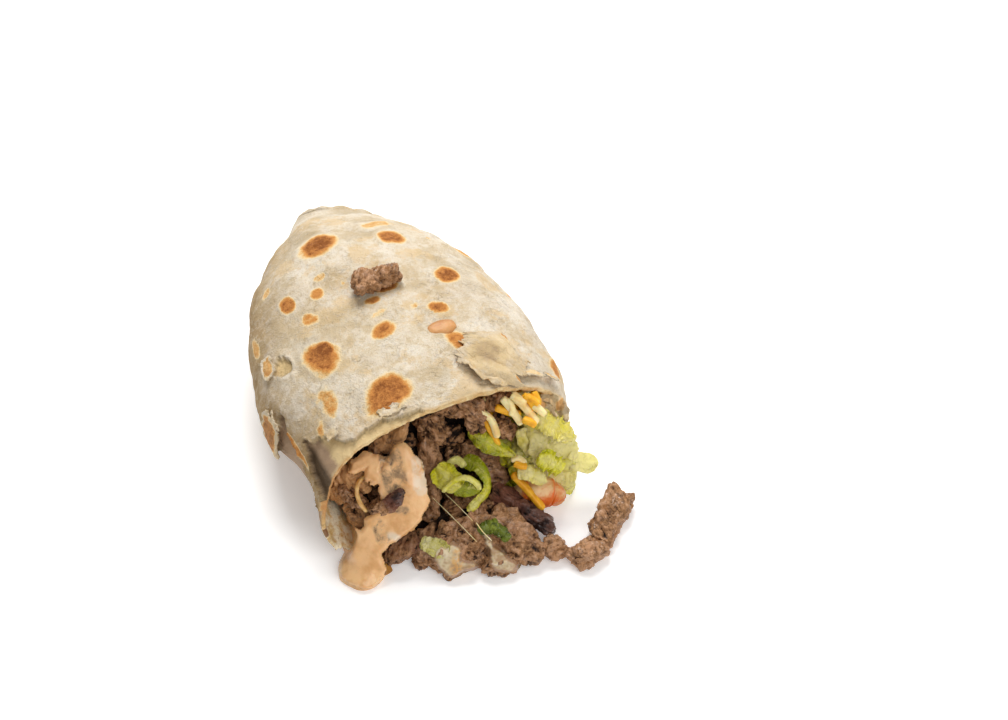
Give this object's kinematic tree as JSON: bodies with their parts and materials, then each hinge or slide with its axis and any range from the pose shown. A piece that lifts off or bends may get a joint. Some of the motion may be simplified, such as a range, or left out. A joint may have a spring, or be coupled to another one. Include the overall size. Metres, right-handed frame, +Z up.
{
  "type": "burrito half",
  "caption": "Cut half of a steak and shrimp burrito in a toasted flour tortilla, lying on its side with filling and sauce spilling from the cut.",
  "frame": {"origin": "middle of the flat patch of the tortilla's underside on which the roll rests", "axes": "+Z up, +Y along the roll towards its folded closed end, +X to the right as seen from the cut"},
  "size_m": [0.1209, 0.1815, 0.0651],
  "materials": {
    "tortilla": "toasted flour tortilla, dry and floury, with browned blisters",
    "steak": "grilled chopped steak, moist, coarse fibres",
    "lettuce": "crisp iceberg lettuce, wet, pale green to yellow",
    "herb": "cilantro leaf, dark green",
    "yellow_cheese": "shredded yellow cheese, waxy",
    "pale_cheese": "pale and melted cheese, waxy",
    "shrimp": "cooked shrimp, orange and white, moist",
    "sauce": "creamy chile sauce, glossy"
  },
  "bodies": {
    "root": {"cheese_core": "yellow_cheese", "cheese_shred_long": "yellow_cheese", "cheese_shred_white_1": "pale_cheese", "cheese_shred_white_2": "pale_cheese", "cheese_shred_white_3": "pale_cheese", "cheese_shred_yellow_1": "yellow_cheese", "cheese_shred_yellow_2": "yellow_cheese", "cheese_shred_yellow_3": "yellow_cheese", "cheese_shred_yellow_4": "yellow_cheese", "cilantro_leaf": "herb", "lettuce_core": "lettuce", "lettuce_curl": "lettuce", "lettuce_dark": "lettuce", "lettuce_frill": "lettuce", "lettuce_leaf": "lettuce", "lettuce_lobe": "lettuce", "lettuce_rib": "lettuce", "lettuce_ruffle": "lettuce", "lettuce_scrap": "lettuce", "lettuce_tuft": "lettuce", "melted_left": "pale_cheese", "melted_right": "pale_cheese", "sauce": "sauce", "sauce_drop": "sauce", "shrimp": "shrimp", "steak_bend": "steak", "steak_charred": "steak", "steak_core": "steak", "steak_curl_lower": "steak", "steak_curl_upper": "steak", "steak_dark_left": "steak", "steak_front_left": "steak", "steak_front_low": "steak", "steak_front_middle": "steak", "steak_front_slab": "steak", "steak_front_toe": "steak", "steak_inner_left": "steak", "steak_inner_middle": "steak", "steak_inner_right": "steak", "steak_link": "steak", "steak_middle_low": "steak", "steak_on_top": "steak", "steak_pointed": "steak", "steak_right_inner": "steak", "steak_right_upper": "steak", "steak_sauced": "steak", "steak_stray": "steak", "steak_top_back": "steak", "steak_top_middle": "steak", "steak_top_right": "steak", "steak_under_rim": "steak", "steak_upright": "steak", "tortilla": "tortilla", "tortilla_flake": "tortilla"}
  },
  "joints": []
}
